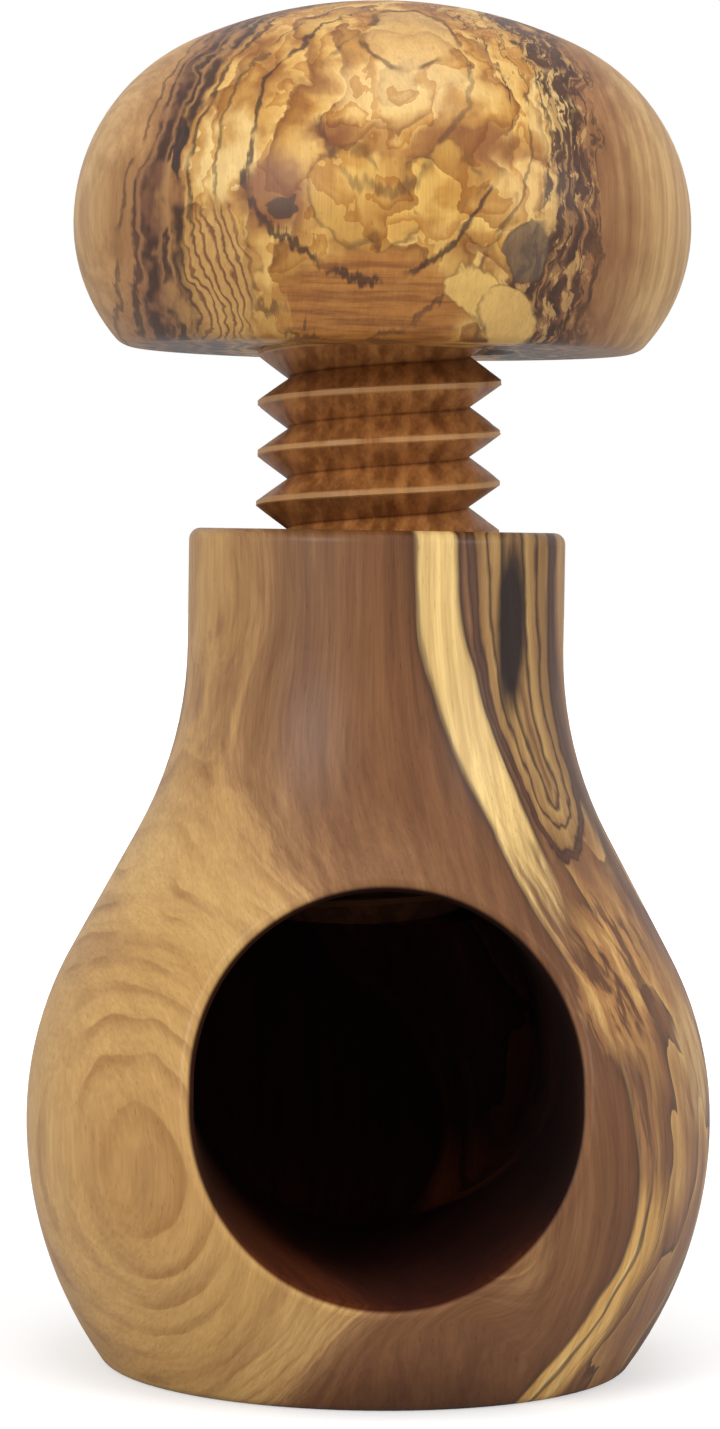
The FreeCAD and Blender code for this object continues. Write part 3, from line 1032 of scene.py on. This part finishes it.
# %% Knob wood: blobs on the front, each with its centre, size, softness, strength and colour
PALE = (0.82, 0.58, 0.23)
GOLDEN = (0.74, 0.45, 0.11)
BROWN = (0.27, 0.10, 0.028)
BLOBS = [
    ((-16.3, -20, 17.0), (3.4, 14, 4.4), 0.22, 0.85, PALE),
    ((12.0, -20, 14.0), (3.8, 14, 3.6), 0.20, 0.85, (0.78, 0.50, 0.16)),
    ((14.6, -18, 22.5), (2.4, 14, 4.2), 0.25, 0.8, PALE),
    ((0.0, -18, 24.0), (7.5, 14, 3.2), 0.30, 0.6, PALE),
    ((-11.8, -20, 13.4), (2.6, 12, 3.6), 0.30, 0.9, BROWN),
    ((-7.0, -20, 19.4), (2.6, 12, 1.6), 0.40, 0.9, BROWN),
    ((5.8, -20, 19.0), (3.9, 12, 1.9), 0.35, 0.9, BROWN),
    ((-5.4, -20, 13.6), (3.4, 14, 4.4), 0.14, 0.95, GOLDEN),
    ((-1.6, -20, 11.4), (3.2, 14, 2.8), 0.16, 0.95, (0.72, 0.42, 0.10)),
    ((3.8, -20, 15.0), (3.4, 14, 3.4), 0.14, 0.95, GOLDEN),
    ((8.2, -20, 12.2), (2.6, 14, 2.6), 0.18, 0.9, (0.78, 0.49, 0.14)),
    ((-12.0, -20, 2.4), (2.2, 14, 4.2), 0.16, 0.9, (0.78, 0.50, 0.15)),
]
torn = canvas.place(wander, Place=bent, Size=2.4, Reach=1.2)["Place"]
for centre, size, softness, strength, tint in BLOBS:
    blob = canvas.place(patch, Place=torn, Centre=centre, Size=size, Softness=softness)["Mask"]
    blob = blob * front
    if softness < 0.2:
        rim = blob * (1.0 - blob) * 3.4 * canvas.ramp(blotch, 0.42, 0.52)
        colour = canvas.mix(rim, colour, UMBER)
        tint = canvas.mix(petals["Slope"], tint, (0.42, 0.19, 0.035))
    colour = canvas.mix(blob * strength, colour, tint)
print("knob wood:", len(BLOBS), "blobs")

# %% Knob wood: hollows and the smooth face
small_petals = canvas.place(curl, Place=torn, Size=5.0, Count=4.0, Shift=layer * 0.25)
hollows = canvas.ramp(small_petals["Slope"], 0.40, 0.95) * inside * front
colour = canvas.darken(hollows * 0.75, colour, (0.66, 0.47, 0.26))
smooth_face = canvas.place(
    patch, Place=bent, Centre=(-2.6, -22, 3.2), Size=(9.0, 30, 4.9), Softness=0.16
)["Mask"] * front
sheets = canvas.cloud(canvas.join(x0 * 0.12, y0 * 0.3, z0 * 1.6), 1.0, 3.0, 0.6)
face = canvas.mix(canvas.ramp(sheets, 0.4, 0.65), (0.44, 0.18, 0.04), (0.27, 0.095, 0.022))
colour = canvas.mix(smooth_face * 0.95, colour, face)
print("knob wood: smooth face drawn")

# %% Knob wood: ink lines, each with its layer, width and strength
INK_LINES = [
    (5.6, 0.35, 0.5),
    (9.3, 0.30, 0.85),
    (11.4, 0.22, 0.6),
    (13.4, 0.35, 0.8),
    (14.5, 0.75, 0.95),
    (15.5, 0.4, 0.95),
    (16.5, 0.7, 0.95),
    (17.6, 0.35, 0.8),
    (18.8, 0.25, 0.6),
]
broken = canvas.ramp(canvas.cloud(centred, 4.0, 2.0), 0.36, 0.50)
lines = None
for mark, width, strength in INK_LINES:
    line = canvas.place(ink_line, Value=layer, Mark=mark, Width=width)["Mask"] * strength
    lines = line if lines is None else canvas.math("MAXIMUM", lines, line)
lines = lines * (broken * 0.85 + 0.15)
colour = canvas.mix(lines, colour, (0.055, 0.024, 0.014))
print("knob wood:", len(INK_LINES), "ink lines")

# %% Knob wood: stripes low on the left, speckled band on the right
fan = canvas.place(
    patch, Place=bent, Centre=(-17.0, -17, 5.5), Size=(3.6, 12, 7.0), Softness=0.35
)["Mask"]
stripe = canvas.math("FRACT", x * 1.05 + z * 0.34 + canvas.cloud(centred, 3.5) * 2.2)
stripe = canvas.ramp(stripe, 0.45, 0.72) * canvas.ramp(stripe, 1.0, 0.85)
fan_colour = canvas.mix(stripe, (0.56, 0.32, 0.10), (0.20, 0.085, 0.035))
colour = canvas.mix(fan * 0.9, colour, fan_colour)
speckle = canvas.cloud(canvas.join(x * 1.0, y0 * 0.3, z * 0.34), 1.0, 3.0, 0.65)
right_band = canvas.ramp(layer, 12.0, 14.0) * canvas.ramp(layer, 20.0, 17.5)
right_band = right_band * canvas.ramp(x0, 6.0, 10.0)
dark_specks = canvas.ramp(speckle, 0.50, 0.57)
pale_specks = canvas.ramp(speckle, 0.44, 0.38)
colour = canvas.mix(right_band * dark_specks, colour, (0.09, 0.038, 0.02))
colour = canvas.mix(right_band * pale_specks * 0.7, colour, (0.60, 0.36, 0.13))
print("knob wood: stripes and specks drawn")

# %% Knob wood: knots, each with its centre, size, strength and colour, and the pith
PITH = (0.8, -14.0, 29.4)
PITH_SIZE = (4.8, 9.0, 3.4)
KNOTS = [
    ((12.4, -20, 8.8), (1.8, 12, 2.6), 0.8, (0.12, 0.080, 0.055)),
    ((-21.0, -15, 18.6), (0.9, 10, 2.8), 0.9, (0.035, 0.020, 0.020)),
    ((-11.0, -20, 12.4), (0.8, 10, 1.2), 0.8, (0.05, 0.028, 0.02)),
    ((7.4, -20, 4.6), (2.6, 14, 2.6), 0.9, (0.76, 0.48, 0.14)),
    ((10.6, -20, 2.4), (2.8, 14, 2.6), 0.9, (0.72, 0.45, 0.14)),
]
for centre, size, strength, tint in KNOTS:
    blob = canvas.place(patch, Place=torn, Centre=centre, Size=size, Softness=0.14)["Mask"] * front
    colour = canvas.mix(blob * (1.0 - blob) * 3.0 * broken, colour, UMBER)
    colour = canvas.mix(blob * strength, colour, tint)
from_pith = canvas.vector_math("SUBTRACT", bent, PITH)
pith = canvas.vector_math("LENGTH", canvas.vector_math("DIVIDE", from_pith, PITH_SIZE))
colour = canvas.mix(canvas.ramp(pith, 1.0, 0.85) * 0.55, colour, (0.66, 0.42, 0.16))
pith_line = canvas.place(ink_line, Value=pith, Mark=1.0, Width=0.10)["Mask"]
colour = canvas.mix(pith_line * (broken * 0.6 + 0.1), colour, UMBER)
print("knob wood:", len(KNOTS), "knots and the pith")

# %% Knob wood: grain and polish
outer = canvas.ramp(layer, 15.5, 19.0)
grain = canvas.place(fine_grain, Across=x0 * 1.0 + y0 * 0.3, Aside=y0, Along=z0)
colour = canvas.darken(grain["Streak"] * (outer * 0.55 + 0.25), colour, (0.58, 0.48, 0.40))
colour = canvas.darken(grain["Hair"] * 0.35, colour, (0.68, 0.60, 0.52))
colour = canvas.darken(grain["Pores"] * 0.30, colour, (0.50, 0.40, 0.30))
polish(canvas, shader, colour, grain)
knob.data.materials.append(knob_wood)
print("knob wood nodes:", len(knob_wood.node_tree.nodes))

# %% [markdown]
# ## The screw's wood and the glue
# The screw is plain straight heartwood, a reddish brown, because a burl would snap under load. The
# glue film is hidden in the knob's socket, so a clear amber finish is all that it needs.

# %% Screw wood
screw_wood, canvas, shader, place = new_wood("screw_olive_heartwood")
x0, y0, z0 = canvas.split(place)
x, y, z = canvas.split(canvas.place(wander, Place=place, Size=18.0, Reach=0.8)["Place"])
grain = canvas.place(fine_grain, Across=x * 1.1 - y * 0.3, Aside=y, Along=z)
tone = canvas.cloud(canvas.join(x * 0.6, y * 0.3, z * 0.02), 1.0, 4.0, 0.6)
colour = canvas.mix(canvas.ramp(tone, 0.38, 0.62), (0.47, 0.20, 0.058), (0.26, 0.098, 0.027))
colour = canvas.darken(grain["Streak"] * 0.75, colour, (0.55, 0.44, 0.36))
colour = canvas.darken(grain["Hair"] * 0.4, colour, (0.66, 0.58, 0.50))
radius = canvas.vector_math("LENGTH", canvas.join(x0, y0, 0.0))
crest, tip = SCREW_RADIUS / MM, screw_low.z / MM
root = crest - THREAD_DEPTH / MM
# wear and a painted highlight: the crests of the thread are paler
worn_and_highlit_crest = canvas.ramp(radius, crest - 0.36, crest - 0.12)
colour = canvas.mix(worn_and_highlit_crest * 0.6, colour, (0.52, 0.28, 0.105))
# painted shade: darker in the roots of the thread
painted_root_shade = canvas.ramp(radius, root + 0.4, root)
colour = canvas.darken(painted_root_shade * 0.6, colour, (0.45, 0.36, 0.30))
# the last few millimetres of the tip are darker and matt
dark_matt_tip = canvas.ramp(z0, tip + 5.0, tip + 3.0)
colour = canvas.darken(dark_matt_tip, colour, (0.10, 0.07, 0.055))
polish(canvas, shader, colour, grain, matt=dark_matt_tip, relief=0.05 * MM)
screw.data.materials.append(screw_wood)
print("screw wood nodes:", len(screw_wood.node_tree.nodes))

# %% Glue
glue = bpy.data.materials.new("amber_glue")
glue.use_nodes = True
glue_shader = glue.node_tree.nodes["Principled BSDF"]
glue_shader.inputs["Base Color"].default_value = (0.62, 0.40, 0.13, 1)
glue_shader.inputs["Roughness"].default_value = 0.25
frame["nodes"]["glue_bond"].data.materials.clear()
frame["nodes"]["glue_bond"].data.materials.append(glue)
print("materials:", [m.name for m in bpy.data.materials])
